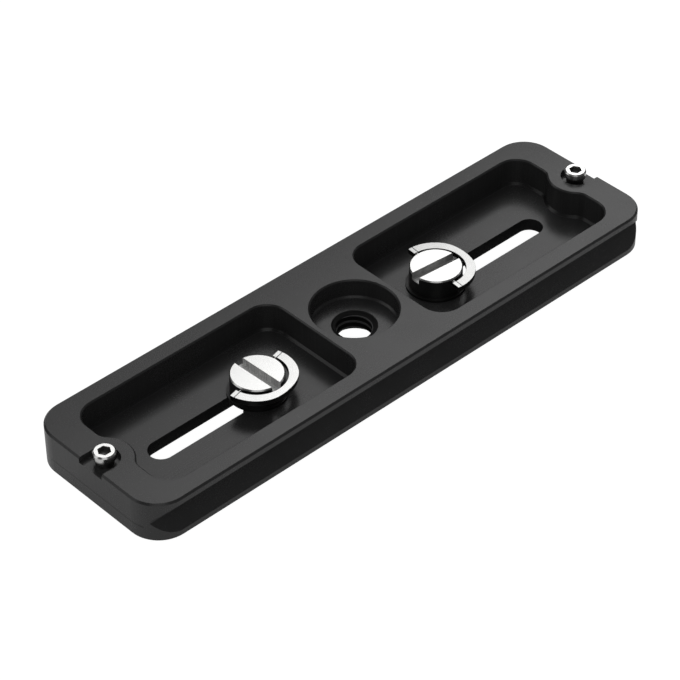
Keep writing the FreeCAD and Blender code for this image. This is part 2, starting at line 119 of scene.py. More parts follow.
# A 60 degree thread's depth and the corners of its profile, as shares of the pitch
THREAD_DEPTH = 0.54127
THREAD_CORNERS = (0.25, 0.5625, 0.6875)
THREAD_STEPS = 64
RIDGE_STEPS = 72
RING_STEPS = 120
RING_FRONT = math.radians(42)
WELD = 1e-3 * MM
CUT = 1e-5 * MM

# Metres: the floor's flat part, its bend and the top of its wall
FLOOR_RADIUS = 1.6
SWEEP_BEND = 0.6
SWEEP_TOP = 3.0

# Panels that level faces mirror to the camera: name, degrees of turn, place of the near edge, and
# how far they hang in front of the panel distance, because two lights in one plane lose light
MIRRORED_PANELS = (("key", 65, -0.03, 0.0), ("edge", 45, 0.0, 0.01))
FILL_PLACE = Vector((-0.55, -0.60, 0.75))
FILL_SIZE = (0.7, 0.5)

# Dim panels 1 m away: name, degrees round from the mirrored line, elevation, height, and share of
# the side panels' brightness
SIDE_PANELS = (("far_panel", 0, 14, 0.3, 1.0), ("right_panel", 90, 15, 0.3, 1.0),
               ("near_panel", 180, 14, 0.3, 1.0), ("left_panel", 270, 31, 0.3, 2.2),
               ("top_panel", 0, 90, 0.9, 1.0))
SIDE_PANEL_WIDTH = 0.9

# The point that the camera looks at: its height, and its place to the camera's right and upwards
AIM_HEIGHT = 5.3 * MM
AIM_RIGHT = -3.05 * MM
AIM_UP = -3.22 * MM


# Sizes and colours that can be changed in the sidebar

class ThreadSizes(bpy.types.PropertyGroup):
    """Sizes of the two screw threads."""

    camera_pitch: bpy.props.FloatProperty(
        name="Camera pitch", description="Rise of the camera thread in one turn",
        default=25.4 / 20 * MM, subtype="DISTANCE", unit="LENGTH", precision=5)
    camera_crest: bpy.props.FloatProperty(
        name="Camera crest", description="Outer radius of the camera thread",
        default=3.175 * MM, subtype="DISTANCE", unit="LENGTH", precision=5)
    camera_start: bpy.props.FloatProperty(
        name="Camera start", description="Height of the camera thread's upper end",
        default=-0.3 * MM, subtype="DISTANCE", unit="LENGTH", precision=5)
    camera_tip: bpy.props.FloatProperty(
        name="Camera tip", description="Bevel at the camera thread's tip",
        default=0.6 * MM, subtype="DISTANCE", unit="LENGTH", precision=5)
    tripod_pitch: bpy.props.FloatProperty(
        name="Tripod pitch", description="Rise of the tripod thread in one turn",
        default=25.4 / 16 * MM, subtype="DISTANCE", unit="LENGTH", precision=5)
    tripod_wall: bpy.props.FloatProperty(
        name="Tripod wall", description="Radius of the tripod hole in the plate",
        default=3.97 * MM, subtype="DISTANCE", unit="LENGTH", precision=5)
    tripod_ridge: bpy.props.FloatProperty(
        name="Tripod ridge", description="Height of the tripod thread's ridge over the wall",
        default=0.26 * MM, subtype="DISTANCE", unit="LENGTH", precision=5)
    tripod_low: bpy.props.FloatProperty(
        name="Tripod low end",
        description="Height where the tripod thread ends above the camera face",
        default=1.2 * MM, subtype="DISTANCE", unit="LENGTH", precision=5)
    tripod_mouth: bpy.props.FloatProperty(
        name="Tripod mouth", description="Height where the tripod hole starts to widen",
        default=4.5 * MM, subtype="DISTANCE", unit="LENGTH", precision=5)
    tripod_high: bpy.props.FloatProperty(
        name="Tripod high end",
        description="Height where the tripod thread starts, at the well's floor",
        default=5.1 * MM, subtype="DISTANCE", unit="LENGTH", precision=5)


class RingSizes(bpy.types.PropertyGroup):
    """Sizes of the folding rings."""

    inner: bpy.props.FloatProperty(
        name="Inner", description="Inner radius of the ring's bow",
        default=6.4 * MM, subtype="DISTANCE", unit="LENGTH", precision=5)
    outer: bpy.props.FloatProperty(
        name="Outer", description="Outer radius of the ring's bow",
        default=8.4 * MM, subtype="DISTANCE", unit="LENGTH", precision=5)
    reach: bpy.props.FloatProperty(
        name="Reach", description="Front of the bow from its pivot axis",
        default=8.05 * MM, subtype="DISTANCE", unit="LENGTH", precision=5)
    tail: bpy.props.FloatProperty(
        name="Tail", description="Ends of the ring past its pivot axis",
        default=0.7 * MM, subtype="DISTANCE", unit="LENGTH", precision=5)
    edge: bpy.props.FloatProperty(
        name="Edge", description="Rounding of the ring's edges",
        default=0.16 * MM, subtype="DISTANCE", unit="LENGTH", precision=5)
    stub_radius: bpy.props.FloatProperty(
        name="Stub radius", description="Radius of the stubs that turn in the head",
        default=0.55 * MM, subtype="DISTANCE", unit="LENGTH", precision=5)
    stub_start: bpy.props.FloatProperty(
        name="Stub start", description="Inner end of a stub from the screw's axis",
        default=4.6 * MM, subtype="DISTANCE", unit="LENGTH", precision=5)


class FinishColours(bpy.types.PropertyGroup):
    """Colours and gloss of the four finishes."""

    anodised: bpy.props.FloatVectorProperty(
        name="Anodised", description="Colour of the black anodised plate",
        default=(0.052, 0.052, 0.0525), subtype="COLOR", min=0, max=1)
    anodised_roughness: bpy.props.FloatProperty(
        name="Anodised roughness", description="How matt the plate is",
        default=0.26, subtype="FACTOR", min=0, max=1)
    steel: bpy.props.FloatVectorProperty(
        name="Steel", description="Colour of the polished steel",
        default=(0.78, 0.78, 0.77), subtype="COLOR", min=0, max=1)
    steel_roughness: bpy.props.FloatProperty(
        name="Steel roughness", description="How matt the polished steel is",
        default=0.2, subtype="FACTOR", min=0, max=1)
    washer: bpy.props.FloatVectorProperty(
        name="Washer", description="Colour of the thin washers",
        default=(0.012, 0.012, 0.012), subtype="COLOR", min=0, max=1)
    rubber: bpy.props.FloatVectorProperty(
        name="Rubber", description="Colour of the grip strips",
        default=(0.022, 0.022, 0.023), subtype="COLOR", min=0, max=1)


class StudioSettings(bpy.types.PropertyGroup):
    """The floor, the lights and the camera."""

    floor_drop: bpy.props.FloatProperty(
        name="Floor drop", description="Gap between the lowest thread and the floor",
        default=0.3 * MM, subtype="DISTANCE", unit="LENGTH", precision=5)
    floor_glow: bpy.props.FloatProperty(
        name="Floor glow", description="Light that the pale floor gives of itself",
        default=1.0, min=0)
    bounce_glow: bpy.props.FloatProperty(
        name="Bounce glow",
        description="Light that the plate's faces see in the floor besides the panels'",
        default=0.22, min=0)
    key_radiance: bpy.props.FloatProperty(
        name="Key panel", description="Brightness of the first panel behind the plate",
        default=1.02, min=0)
    edge_radiance: bpy.props.FloatProperty(
        name="Edge panel", description="Brightness of the panel turned against it",
        default=0.76, min=0)
    panel_distance: bpy.props.FloatProperty(
        name="Panel distance", description="Plate to the panels behind it",
        default=0.45, subtype="DISTANCE", unit="LENGTH")
    panel_depth: bpy.props.FloatProperty(
        name="Panel depth",
        description="Size of the panels behind the plate, away from their near edge",
        default=0.19, subtype="DISTANCE", unit="LENGTH")
    panel_width: bpy.props.FloatProperty(
        name="Panel width",
        description="Size of the panels behind the plate, along their near edge",
        default=0.36, subtype="DISTANCE", unit="LENGTH")
    fill_radiance: bpy.props.FloatProperty(
        name="Fill panel", description="Brightness of the panel over the camera",
        default=0.55, min=0)
    side_radiance: bpy.props.FloatProperty(
        name="Side panels", description="Brightness of the dim panels on all sides and above",
        default=0.28, min=0)
    room_radiance: bpy.props.FloatProperty(
        name="Room", description="Brightness of the plain room round the plate",
        default=0.055, min=0)
    azimuth: bpy.props.FloatProperty(
        name="Azimuth", description="Camera's turn round the plate",
        default=math.radians(-42.71), subtype="ANGLE", unit="ROTATION")
    elevation: bpy.props.FloatProperty(
        name="Elevation", description="Camera's height above the horizon",
        default=math.radians(39.68), subtype="ANGLE", unit="ROTATION")
    roll: bpy.props.FloatProperty(
        name="Roll", description="Camera's turn about its own axis",
        default=math.radians(-0.62), subtype="ANGLE", unit="ROTATION")
    distance: bpy.props.FloatProperty(
        name="Distance", description="Camera to the plate",
        default=562.6 * MM, subtype="DISTANCE", unit="LENGTH")
    lens: bpy.props.FloatProperty(
        name="Lens", description="Focal length on a 36 mm sensor",
        default=144.0, unit="CAMERA")


# Shader maths

class Channel:
    """A shader output whose maths is written as Python."""

    def __init__(self, nodes, socket):
        self.nodes = nodes
        self.socket = socket

    def maths(self, operation, *others):
        sockets = dict(enumerate((self, *others)))
        return self.nodes.node("ShaderNodeMath", {"operation": operation}, sockets)[0]

    def __add__(self, other):
        return self.maths("ADD", other)

    def __mul__(self, other):
        return self.maths("MULTIPLY", other)

    def __sub__(self, other):
        return self.maths("SUBTRACT", other)

    def __pow__(self, other):
        return self.maths("POWER", other)

    def below(self, limit, width):
        """1 well under the limit and 0 well over it."""
        return self.nodes.ramp(self, limit + width / 2, limit - width / 2)

    def above(self, limit, width):
        return self.nodes.ramp(self, limit - width / 2, limit + width / 2)


class Nodes:
    """A node tree, with one method that adds a node."""

    def __init__(self, tree):
        self.tree = tree

    def node(self, kind, settings, sockets):
        """A node with its settings made first, then its sockets set or linked."""
        node = self.tree.nodes.new(kind)
        for name, value in settings.items():
            setattr(node, name, value)
        for key, value in sockets.items():
            if isinstance(value, Channel):
                self.tree.links.new(value.socket, node.inputs[key])
            else:
                node.inputs[key].default_value = value
        return [Channel(self, socket) for socket in node.outputs]

    def place(self):
        return self.node("ShaderNodeTexCoord", {}, {})[3]

    def parts(self, vector):
        return self.node("ShaderNodeSeparateXYZ", {}, {0: vector})

    def vector(self, x, y, z):
        return self.node("ShaderNodeCombineXYZ", {}, {0: x, 1: y, 2: z})[0]

    def turned(self, vector, centre, turn):
        """The place as seen from a centre and turned about the Z axis."""
        ends = {0: vector, 1: centre}
        moved = self.node("ShaderNodeVectorMath", {"operation": "SUBTRACT"}, ends)[0]
        sockets = {"Vector": moved, "Rotation": (0, 0, turn)}
        return self.node("ShaderNodeMapping", {"vector_type": "POINT"}, sockets)[0]

    def noise(self, vector, scale, detail=2.0, roughness=0.5):
        sockets = {"Vector": vector, "Scale": scale, "Detail": detail, "Roughness": roughness}
        return self.node("ShaderNodeTexNoise", {}, sockets)[0]

    def ramp(self, value, start, finish):
        settings = {"interpolation_type": "SMOOTHSTEP"}
        sockets = {0: value, 1: start, 2: finish, 3: 0.0, 4: 1.0}
        return self.node("ShaderNodeMapRange", settings, sockets)[0]

    def mix(self, factor, first, second):
        sockets = {0: factor, 6: first, 7: second}
        return self.node("ShaderNodeMix", {"data_type": "RGBA"}, sockets)[2]

    def bump(self, height, depth):
        sockets = {"Height": height, "Strength": 1.0, "Distance": depth}
        return self.node("ShaderNodeBump", {}, sockets)[0]


class Finish(Nodes):
    """A material whose surface is one Principled shader."""

    def __init__(self, name, steady):
        self.material = bpy.data.materials.new(name)
        self.material.use_nodes = True
        super().__init__(self.material.node_tree)
        self.surface = self.tree.nodes["Principled BSDF"]
        for socket, value in steady.items():
            self.surface.inputs[socket].default_value = value

    def feed(self, **channels):
        """Link Base_Color, Roughness or Normal to what varies over the surface."""
        for name, channel in channels.items():
            self.tree.links.new(channel.socket, self.surface.inputs[name.replace("_", " ")])
        return self.material

    def shades(self, factor, colour, dark, light):
        """Two shades of one colour, mixed."""
        return self.mix(factor, rgba(colour, dark), rgba(colour, light))

    def lathe_rings(self, radius, z):
        """The fine rings that a lathe leaves round its axis."""
        return self.noise(self.vector(radius * 9000.0, z * 3000.0, 0.0), 1.0, 3.0, 0.6)


def rgba(colour, factor=1.0):
    return (*(channel * factor for channel in colour), 1.0)


# Finishes

def anodised_finish(colours):
    """Black anodised aluminium: fine blasted grain, cutter marks on the pockets' floors and streaks
    on their walls, with painted shade at the walls' foot and in the tripod hole's mouth, and a
    painted highlight on the tripod thread's crest.
    """
    finish = Finish("black_anodising", {"IOR": 1.5, "Metallic": 0.0})
    place = finish.place()
    x, y, z = finish.parts(place)
    grain = finish.noise(place, 5200.0, 3.0, 0.6)
    cloud = finish.noise(place, 90.0, 2.0)
    speck = finish.noise(place, 1500.0, 2.0, 0.7).above(0.68, 0.06)
    floor = z.below(POCKET_FLOOR + 0.2 * MM, 0.3 * MM) * z.above(POCKET_FLOOR - 0.3 * MM, 0.2 * MM)
    stripes = finish.noise(finish.vector(x * 60.0, y * 3800.0, z * 60.0), 1.0, 2.0)
    inner = ((y * y) ** 0.5).below(POCKET_SIDE, 0.2 * MM)
    foot_top = POCKET_FLOOR + POCKET_FOOT
    wall = inner * z.above(foot_top + 0.2 * MM, 0.2 * MM) * z.below(PLATE_TOP - 0.4 * MM, 0.2 * MM)
    foot = z.above(POCKET_FLOOR + 0.05 * MM, 0.06 * MM) * z.below(foot_top + 0.03 * MM, 0.06 * MM)
    foot = inner * foot
    streaks = finish.noise(finish.vector(x * 2600.0, y * 2600.0, z * 40.0), 1.0, 2.0, 0.6)
    tone = finish.shades(grain * 0.5 + cloud * 0.5, colours.anodised, 0.8, 1.25)
    tone = finish.mix(speck * 0.4, tone, rgba(colours.anodised, 2.0))
    tone = finish.mix(wall * streaks.above(0.55, 0.2) * 0.3, tone, rgba(colours.anodised, 1.4))
    # Painted shade: the bevel at the foot of the pocket walls is darkened
    tone = finish.mix(foot * 0.8, tone, rgba(colours.anodised, 0.25))
    radius = (x * x + y * y) ** 0.5
    mouth = radius.below(MOUTH_RADIUS, 0.05 * MM) * z.below(WELL_FLOOR + 0.3 * MM, 0.04 * MM)
    # Painted shade: the mouth of the tripod hole is darkened
    tone = finish.mix(mouth, tone, rgba(colours.anodised, 0.2))
    # Painted highlight: the tops of the tripod thread's ridge are lightened
    crest_highlight = radius.below(CREST_RADIUS, 0.08 * MM)
    tone = finish.mix(crest_highlight * 0.8, tone, rgba(colours.anodised, 4.5))
    rough = (cloud - 0.5) * 0.10 + (grain - 0.5) * 0.10
    rough = rough + floor * (stripes - 0.5) * 0.03 + mouth * 0.7
    height = grain * 0.6 + floor * stripes * 0.15 + wall * streaks * 0.3
    return finish.feed(Base_Color=tone, Roughness=rough + colours.anodised_roughness,
                       Normal=finish.bump(height, 0.006 * MM))


def steel_base(name):
    return Finish(name, {"Metallic": 1.0, "IOR": 2.6})


def turned_steel_finish(colours, side):
    """Polished steel with the fine rings of a lathe round the screw's axis, a grey milled driver
    slot, and painted shade on the head's side.
    """
    finish = steel_base(f"turned_steel_{side}")
    place = finish.place()
    x, y, z = finish.parts(place)
    off = x - SCREW_AXIS[side].x
    radius = (off * off + y * y) ** 0.5
    rings = finish.lathe_rings(radius, z)
    turned = finish.turned(place, SCREW_AXIS[side], -DRIVER_ANGLE[side])
    along, across, _ = finish.parts(turned)
    long, short = DRIVER_GRAIN[side]
    grain = finish.noise(finish.vector(along * long, across * short, 0.0), 1.0, 3.0, 0.6)
    in_slot = ((across * across) ** 0.5).below(DRIVER_HALF_WIDTH, 0.04 * MM)
    above_bottom = z.above(HEAD_TOP - DRIVER_DEPTH, 0.1 * MM)
    milled = in_slot * z.below(HEAD_TOP - 0.12 * MM, 0.1 * MM) * above_bottom
    # The slot's grey follows its grain; its level is painted light on the left screw and painted
    # shade on the right
    slot_tone = finish.shades(finish.ramp(grain, 0.32, 0.68), colours.steel, *DRIVER_GRAIN_LIGHT_AND_SHADE[side])
    tone = finish.shades(rings, colours.steel, 0.9, 1.08)
    shaded_side = radius.above(HEAD_EDGE, 0.06 * MM) * z.below(HEAD_TOP - 0.35 * MM, 0.2 * MM)
    tone = finish.mix(milled, tone, slot_tone)
    # Painted shade: the head's side below its top is darkened
    tone = finish.mix(shaded_side * 0.85, tone, rgba(colours.steel, SHADED_STEEL))
    rough = (rings - 0.5) * 0.12 + milled * 0.25 + shaded_side * 0.15 + colours.steel_roughness
    return finish.feed(Base_Color=tone, Roughness=rough, Metallic=milled * -1.0 + 1.0,
                       Normal=finish.bump(rings * 0.5 + milled * grain, 0.006 * MM))


def brushed_steel_finish(colours, side):
    """Polished steel with fine brush marks that follow the ring's bow, with painted shade on its
    sides, its edge bevels and a step line near the pivot, and on the whole right ring.
    """
    finish = steel_base(f"brushed_steel_{side}")
    place = finish.place()
    turned = finish.turned(place, SCREW_AXIS[side], -RING_ANGLE[side])
    along, across, z = finish.parts(turned)
    radius = (along * along + across * across) ** 0.5
    lines = finish.noise(finish.vector(radius * 9000.0, along * 350.0, z * 2500.0), 1.0, 3.0, 0.6)
    # A thin line across each leg near the pivot, painted dark as the shade of a fine step, and
    # dented by the bump
    cut = along.above(0.20 * MM, 0.08 * MM) * along.below(0.34 * MM, 0.08 * MM)
    cloud = finish.noise(place, 500.0, 2.0)
    # Brush lines between two tones; the right ring's tones are lower as painted shade
    tone = finish.shades(lines, colours.steel, *RING_GRAIN_AND_SHADE[side])
    tone = finish.mix(cut * 0.85, tone, rgba(colours.steel, SHADED_STEEL))
    low, high = box_of(f"d_ring_{side}")
    # Painted shade: the ring's sides and edge bevels below its top are darkened
    shaded_side = z.below(high.z - 0.05 * MM, 0.06 * MM) * z.above(low.z + 0.05 * MM, 0.06 * MM)
    tone = finish.mix(shaded_side * 0.8, tone, rgba(colours.steel, 0.1))
    rough = (lines - 0.5) * 0.14 + (cloud - 0.5) * 0.08 + cut * 0.2 + colours.steel_roughness
    return finish.feed(Base_Color=tone, Roughness=rough,
                       Normal=finish.bump(lines * 0.1 - cut, 0.03 * MM))


def socket_steel_finish(colours, side):
    """Bright steel of a stop screw, rougher down in its socket, with painted shade in the socket
    and on its lower part.
    """
    finish = steel_base(f"socket_steel_{side}")
    place = finish.place()
    x, y, z = finish.parts(place)
    off = x - STOP_AXIS[side].x
    radius = (off * off + y * y) ** 0.5
    top = box_of(f"stop_screw_{side}")[1].z
    socket_shade = z.below(top - 0.25 * MM, 0.4 * MM) * radius.below(1.6 * MM, 0.1 * MM)
    rings = finish.lathe_rings(radius, z)
    grain = finish.noise(place, 4000.0, 3.0, 0.6)
    tone = finish.shades(rings, colours.steel, 1.1, 1.2)
    # Painted shade: the hex socket is darkened
    tone = finish.mix(socket_shade * 0.8, tone, finish.shades(grain, colours.steel, 0.08, 0.2))
    # Painted shade: the screw's lower part under its head is darkened
    shaded_shoulder = z.below(top - 1.3 * MM, 0.6 * MM)
    tone = finish.mix(shaded_shoulder * 0.85, tone, rgba(colours.steel, SHADED_STEEL))
    rough = (rings - 0.5) * 0.12 + socket_shade * 0.25 + shaded_shoulder * 0.15 + colours.steel_roughness
    return finish.feed(Base_Color=tone, Roughness=rough,
                       Normal=finish.bump(rings * 0.5, 0.004 * MM))


def washer_finish(colours):
    """Thin black washer, a little smoother than the plate."""
    finish = Finish("washer_black", {"IOR": 1.5, "Metallic": 0.0})
    place = finish.place()
    grain = finish.noise(place, 4500.0, 3.0, 0.6)
    tone = finish.shades(grain, colours.washer, 0.7, 1.4)
    return finish.feed(Base_Color=tone, Roughness=(grain - 0.5) * 0.12 + 0.42,
                       Normal=finish.bump(grain, 0.006 * MM))


def rubber_finish(colours):
    """Matt moulded rubber with a fine sandy skin."""
    finish = Finish("ribbed_rubber", {"IOR": 1.52, "Metallic": 0.0})
    place = finish.place()
    sand = finish.noise(place, 3800.0, 4.0, 0.7)
    cloud = finish.noise(place, 180.0, 2.0)
    tone = finish.shades(sand * 0.6 + cloud * 0.4, colours.rubber, 0.7, 1.4)
    return finish.feed(Base_Color=tone, Roughness=(sand - 0.5) * 0.15 + 0.75,
                       Normal=finish.bump(sand, 0.03 * MM))


# Shapes

def merged_copy(node):
    """A CAD node's triangles as one joined skin."""
    bm = bmesh.new()
    bm.from_mesh(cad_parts[node].data)
    bmesh.ops.remove_doubles(bm, verts=bm.verts, dist=WELD)
    bmesh.ops.recalc_face_normals(bm, faces=bm.faces)
    return bm


def sliced(bm, height, clear_above=False, clear_below=False):
    """Cut all that is there with a level plane, and take away one side if asked."""
    geometry = bm.verts[:] + bm.edges[:] + bm.faces[:]
    bmesh.ops.bisect_plane(bm, geom=geometry, dist=CUT, plane_co=(0, 0, height),
                           plane_no=(0, 0, 1), clear_outer=clear_above, clear_inner=clear_below)


def closed(bm):
    """Fill each open loop with one face."""
    open_edges = [edge for edge in bm.edges if edge.is_boundary]
    bmesh.ops.holes_fill(bm, edges=open_edges, sides=0)


def wound(bm, profile, looped, pitch, turns, steps):
    """Sweep a profile of radius and height upwards round the Z axis."""
    verts = [bm.verts.new((radius, 0, height)) for radius, height in profile]
    pairs = list(zip(verts, verts[1:])) + ([(verts[-1], verts[0])] if looped else [])
    edges = [bm.edges.new(pair) for pair in pairs]
    bmesh.ops.spin(bm, geom=verts + edges, cent=(0, 0, 0), axis=(0, 0, 1),
                   dvec=(0, 0, pitch / steps), angle=2 * math.pi * turns, steps=steps * turns,
                   use_duplicate=False)
    bmesh.ops.remove_doubles(bm, verts=bm.verts, dist=WELD)


def held_radius(bm, limit, outside):
    """Move each vertex to the radius that the limit gives for its height, where it is past it."""
    for vert in bm.verts:
        radius = math.hypot(vert.co.x, vert.co.y)
        allowed = limit(vert.co.z)
        if radius and ((outside and radius < allowed) or (not outside and radius > allowed)):
            vert.co.x *= allowed / radius
            vert.co.y *= allowed / radius


def outside_thread(crest, pitch, low, high, tip):
    """A 60 degree thread with closed ends, run out into its neck and bevelled at its tip."""
    bm = bmesh.new()
    root = crest - THREAD_DEPTH * pitch
    rise, crest_low, crest_high = (share * pitch for share in THREAD_CORNERS)
    profile = ((root, 0), (root, rise), (crest, crest_low), (crest, crest_high), (root, pitch))
    turns = math.ceil((high - low) / pitch) + 2
    wound(bm, profile, False, pitch, turns, THREAD_STEPS)
    bmesh.ops.translate(bm, verts=bm.verts, vec=(0, 0, low - pitch))
    sliced(bm, high, clear_above=True)
    sliced(bm, low, clear_below=True)
    for share in (0.25, 0.5, 0.75, 1.0):
        sliced(bm, low + share * tip)
        sliced(bm, high - share * (crest - root))
    closed(bm)
    held_radius(bm, lambda z: min(crest - tip + (z - low), root + (high - z)), False)
    bmesh.ops.recalc_face_normals(bm, faces=bm.faces)
    return bm


def inside_ridge(wall, ridge, pitch, low, mouth, high):
    """The ridge of a thread, sunk in the wall of a hole that has a 45 degree mouth."""
    bm = bmesh.new()
    sunk, crest = wall + 0.08 * MM, wall - ridge
    half_top = pitch / 8
    half_foot = half_top + (sunk - crest) * math.tan(math.radians(30))
    profile = ((sunk, -half_foot), (crest, -half_top), (crest, half_top), (sunk, half_foot))
    turns = math.ceil((high - low) / pitch) + 2
    wound(bm, profile, True, pitch, turns, RIDGE_STEPS)
    bmesh.ops.translate(bm, verts=bm.verts, vec=(0, 0, low - pitch))
    sliced(bm, high, clear_above=True)
    sliced(bm, low, clear_below=True)
    closed(bm)
    for share in (0.33, 0.67, 1.0):
        sliced(bm, high - share * ridge)
        sliced(bm, low + share * ridge)
    sliced(bm, mouth)
    held_radius(bm, lambda z: wall - min(high - z, z - low, ridge), True)
    for vert in bm.verts:
        if vert.co.z > mouth:
            share = 1 + (vert.co.z - mouth) / math.hypot(vert.co.x, vert.co.y)
            vert.co.x *= share
            vert.co.y *= share
    bmesh.ops.recalc_face_normals(bm, faces=bm.faces)
    return bm


def rounded(bm, edges, width):
    """Round edges off."""
    bmesh.ops.bevel(bm, geom=edges, offset=width, offset_type="OFFSET", segments=3, profile=0.5,
                    affect="EDGES", material=-1, clamp_overlap=True)


def half_ring(sizes, bottom, top):
    """A flat half ring round the Z axis that opens towards -X, with a stub at each end."""
    bm = bmesh.new()
    profile = ((sizes.inner, bottom), (sizes.outer, bottom), (sizes.outer, top), (sizes.inner, top))
    verts = [bm.verts.new((radius, 0, height)) for radius, height in profile]
    edges = [bm.edges.new(pair) for pair in zip(verts, verts[1:] + verts[:1])]
    bmesh.ops.spin(bm, geom=verts + edges, cent=(0, 0, 0), axis=(0, 0, 1), angle=2 * math.pi,
                   steps=RING_STEPS, use_merge=True, use_duplicate=False)
    bmesh.ops.remove_doubles(bm, verts=bm.verts, dist=WELD)
    bmesh.ops.bisect_plane(bm, geom=bm.verts[:] + bm.edges[:] + bm.faces[:], dist=CUT,
                           plane_co=(-sizes.tail, 0, 0), plane_no=(-1, 0, 0), clear_outer=True)
    closed(bm)
    bmesh.ops.recalc_face_normals(bm, faces=bm.faces)
    corners = [edge for edge in bm.edges if edge.calc_face_angle(0) > math.radians(50)]
    rounded(bm, corners, sizes.edge)
    middle = (sizes.inner + sizes.outer) / 2
    for vert in bm.verts:
        radius, turn = math.hypot(vert.co.x, vert.co.y), abs(math.atan2(vert.co.y, vert.co.x))
        if radius > middle and turn < RING_FRONT:
            bow = (1 + math.cos(math.pi * turn / RING_FRONT)) / 2
            drawn_in = (sizes.outer - sizes.reach) * bow
            share = 1 - drawn_in / radius
            vert.co.x *= share
            vert.co.y *= share
    for end in (-1, 1):
        lie = Matrix.Translation((0, end * (sizes.stub_start + middle) / 2, (bottom + top) / 2))
        bmesh.ops.create_cone(bm, cap_ends=True, segments=32, radius1=sizes.stub_radius,
                              radius2=sizes.stub_radius, depth=middle - sizes.stub_start,
                              matrix=lie @ Matrix.Rotation(math.pi / 2, 4, "X"))
    return bm


def mesh_of(bm, name):
    """The shape as a mesh."""
    mesh = bpy.data.meshes.new(name)
    bm.to_mesh(mesh)
    bm.free()
    return mesh


def joined(bm, other):
    """Add another shape to this one."""
    mesh = mesh_of(other, "part_of_a_piece")
    bm.from_mesh(mesh)
    bpy.data.meshes.remove(mesh)


def new_piece(bm, name, body, material, sharp=32.0):
    """An object of the shape, smooth but for its sharp edges, that rides on a body."""
    mesh = mesh_of(bm, name)
    old_normals = mesh.attributes.get("custom_normal")
    if old_normals:
        mesh.attributes.remove(old_normals)
    mesh.shade_smooth()
    mesh.set_sharp_from_angle(angle=math.radians(sharp))
    mesh.materials.append(material)
    piece = bpy.data.objects.new(name, mesh)
    bpy.context.scene.collection.objects.link(piece)
    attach(piece, body)
    return piece


def dress(node, material):
    """Give a CAD node its finish."""
    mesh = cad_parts[node].data
    mesh.materials.clear()
    mesh.materials.append(material)


# One operator for each piece or pair of pieces

class MillPlate(bpy.types.Operator):
    """Give the plate its anodised finish, and its middle hole the tripod thread's ridge"""

    bl_idname = "quick_plate.mill_plate"
    bl_label = "Plate"

    def execute(self, context):
        sizes = context.scene.plate_threads
        finish = anodised_finish(context.scene.plate_finishes)
        dress("plate", finish)
        bm = inside_ridge(sizes.tripod_wall, sizes.tripod_ridge, sizes.tripod_pitch,
                          sizes.tripod_low, sizes.tripod_mouth, sizes.tripod_high)
        new_piece(bm, "tripod_thread", "plate", finish)
        return {"FINISHED"}


class TurnCameraScrews(bpy.types.Operator):
    """Turn both camera screws, with the real thread under their heads"""

    bl_idname = "quick_plate.turn_camera_screws"
    bl_label = "Camera screws"

    def execute(self, context):
        sizes = context.scene.plate_threads
        for side in SIDES:
            bm = merged_copy(f"camera_screw_{side}")
            sliced(bm, sizes.camera_start, clear_below=True)
            closed(bm)
            thread = outside_thread(sizes.camera_crest, sizes.camera_pitch, THREAD_TIP,
                                    sizes.camera_start, sizes.camera_tip)
            bmesh.ops.translate(thread, verts=thread.verts, vec=SCREW_AXIS[side])
            joined(bm, thread)
            finish = turned_steel_finish(context.scene.plate_finishes, side)
            piece = new_piece(bm, f"slotted_screw_{side}", f"{side}_screw",
                              finish)
            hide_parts(f"camera_screw_{side}")
        return {"FINISHED"}


class BendRings(bpy.types.Operator):
    """Bend both folding rings, round at the front and with their stubs in the heads"""

    bl_idname = "quick_plate.bend_rings"
    bl_label = "Folding rings"

    def execute(self, context):
        for side in SIDES:
            low, high = box_of(f"d_ring_{side}")
            bm = half_ring(context.scene.plate_rings, low.z, high.z)
            turn = Matrix.Rotation(RING_ANGLE[side], 4, "Z")
            place = Matrix.Translation(SCREW_AXIS[side])
            bmesh.ops.transform(bm, matrix=place @ turn, verts=bm.verts)
            finish = brushed_steel_finish(context.scene.plate_finishes, side)
            piece = new_piece(bm, f"folding_ring_{side}", f"{side}_ring", finish,
                              sharp=10.0)
            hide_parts(f"d_ring_{side}")
        return {"FINISHED"}


class DressWashers(bpy.types.Operator):
    """Give the washers under the heads their black finish"""

    bl_idname = "quick_plate.dress_washers"
    bl_label = "Washers"

    def execute(self, context):
        finish = washer_finish(context.scene.plate_finishes)
        for side in SIDES:
            dress(f"screw_washer_{side}", finish)
        return {"FINISHED"}


class DressStopScrews(bpy.types.Operator):
    """Give both stop screws their bright finish"""

    bl_idname = "quick_plate.dress_stop_screws"
    bl_label = "Stop screws"

    def execute(self, context):
        for side in SIDES:
            dress(f"stop_screw_{side}", socket_steel_finish(context.scene.plate_finishes, side))
        return {"FINISHED"}


class DressGripStrips(bpy.types.Operator):
    """Give the grip strips on the camera face their rubber finish"""

    bl_idname = "quick_plate.dress_grip_strips"
    bl_label = "Grip strips"

    def execute(self, context):
        finish = rubber_finish(context.scene.plate_finishes)
        for rim in RIMS:
            dress(f"grip_strip_{rim}", finish)
        return {"FINISHED"}


# Stage

